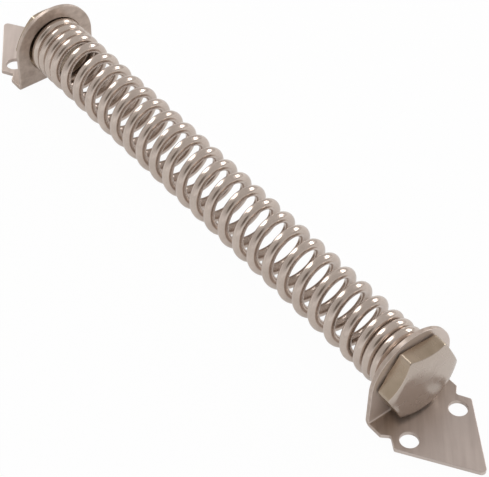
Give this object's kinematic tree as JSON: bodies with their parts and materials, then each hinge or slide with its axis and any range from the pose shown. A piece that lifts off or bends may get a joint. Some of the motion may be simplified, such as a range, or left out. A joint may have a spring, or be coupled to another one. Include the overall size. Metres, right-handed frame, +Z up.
{
  "type": "gate spring closer",
  "caption": "Torsion coil spring held on hex-headed plugs between two bent arrow-leaf brackets, which screw to a post and a gate and swing the gate shut.",
  "frame": {"origin": "on the mounting plane under the middle of the spring", "axes": "+X along the spring toward the gate end, +Z up from the mounting plane, +Y across the leaves"},
  "size_m": [0.2794, 0.0338, 0.0326],
  "materials": {
    "bracket_steel": "tumbled stainless sheet",
    "plug_steel": "satin, machined",
    "spring_wire": "bright drawn wire"
  },
  "bodies": {
    "post_leaf": {"post_bracket": "bracket_steel"},
    "post_end": {"post_plug": "plug_steel", "coil_spring": "spring_wire"},
    "gate_end": {"gate_plug": "plug_steel"},
    "gate_leaf": {"gate_bracket": "bracket_steel"}
  },
  "joints": [
    {"name": "post_plug_play", "type": "hinge", "parent": "post_leaf", "child": "post_end", "pos_m": [-0.1024, 0, 0.0159], "axis": [1, 0, 0], "range_deg": [-6, 12]},
    {"name": "spring_twist", "type": "hinge", "parent": "post_end", "child": "gate_end", "pos_m": [0.0966, 0, 0.0159], "axis": [1, 0, 0], "range_deg": [0, 180], "stiffness_Nm_per_rad": 1.78, "deforming": ["coil_spring"]},
    {"name": "gate_plug_play", "type": "hinge", "parent": "gate_end", "child": "gate_leaf", "pos_m": [0.1024, 0, 0.0159], "axis": [1, 0, 0], "range_deg": [-12, 6]}
  ]
}
